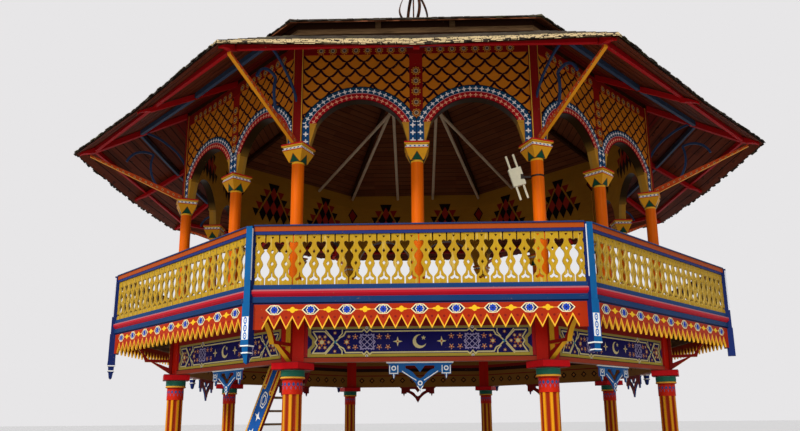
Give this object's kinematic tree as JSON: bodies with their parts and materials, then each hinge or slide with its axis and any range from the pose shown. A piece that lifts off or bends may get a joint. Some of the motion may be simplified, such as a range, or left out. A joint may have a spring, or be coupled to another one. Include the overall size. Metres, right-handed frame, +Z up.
{
  "type": "bandstand",
  "caption": "Eight-sided painted timber bandstand: open ground floor, railed balcony floor with arcade, shingled skirt roof and upper roof, stair inside.",
  "frame": {"origin": "middle of the plan at ground level", "axes": "+Z up, front side towards -Y, the stair behind the front left side"},
  "size_m": [14.32, 14.32, 13.1157],
  "materials": {
    "arcade": "orange and ochre paint with ornament",
    "bare_wood": "weathered boards",
    "blue": "gloss paint with white lines",
    "bright_red": "gloss paint",
    "capital": "yellow and green triangles",
    "dark_red": "gloss paint, weathered",
    "fluted_red_gold": "painted stripes of gold and deep red",
    "frieze": "navy paint with painted ornament",
    "green_gold": "green paint with a yellow bead",
    "iron": "wrought iron, rusty brown",
    "moulding": "crimson over navy, gloss paint",
    "mustard": "mustard paint, worn edges",
    "ochre": "ochre paint",
    "orange": "gloss paint",
    "shingle": "split shingles, weathered",
    "stone": "grey volcanic stone, dull",
    "vermilion": "gloss paint, yellow edges",
    "white_enamel": "white enamel, a little dusty"
  },
  "bodies": {
    "root": {"arch_panel_back": "arcade", "arch_panel_back_left": "arcade", "arch_panel_back_right": "arcade", "arch_panel_front": "arcade", "arch_panel_front_left": "arcade", "arch_panel_front_right": "arcade", "arch_panel_left": "arcade", "arch_panel_right": "arcade", "arch_trims": "blue", "balcony_mouldings": "moulding", "balustrade_back": "mustard", "balustrade_back_left": "mustard", "balustrade_back_right": "mustard", "balustrade_front": "mustard", "balustrade_front_left": "mustard", "balustrade_front_right": "mustard", "balustrade_left": "mustard", "balustrade_right": "mustard", "beam_pendants": "blue", "beam_posts": "dark_red", "ceiling_poles": "bare_wood", "column_abaci": "bright_red", "column_collars": "green_gold", "column_plinths": "stone", "corner_brackets": "dark_red", "eave_blocks": "bare_wood", "eave_purlins": "bright_red", "eave_scrolls": "blue", "eave_struts": "orange", "fascia_boards": "vermilion", "finial": "iron", "floor_boards": "bare_wood", "floor_joists": "bare_wood", "frieze_beams": "frieze", "hip_rafters": "dark_red", "hub_frame": "bare_wood", "lower_columns": "fluted_red_gold", "mid_purlins": "blue", "mid_rafters": "dark_red", "railing_posts": "blue", "rim_joists": "dark_red", "roof_boss": "bare_wood", "rosette_boards": "dark_red", "skirt_roof": "shingle", "stair_strings": "blue", "stair_treads": "bare_wood", "step_boards": "bare_wood", "tube_lamp": "white_enamel", "upper_capitals": "capital", "upper_corner_columns": "orange", "upper_mid_columns": "orange", "upper_rafters": "bare_wood", "upper_roof": "shingle", "wall_corner_posts": "dark_red", "wall_plates": "ochre"}
  },
  "joints": []
}
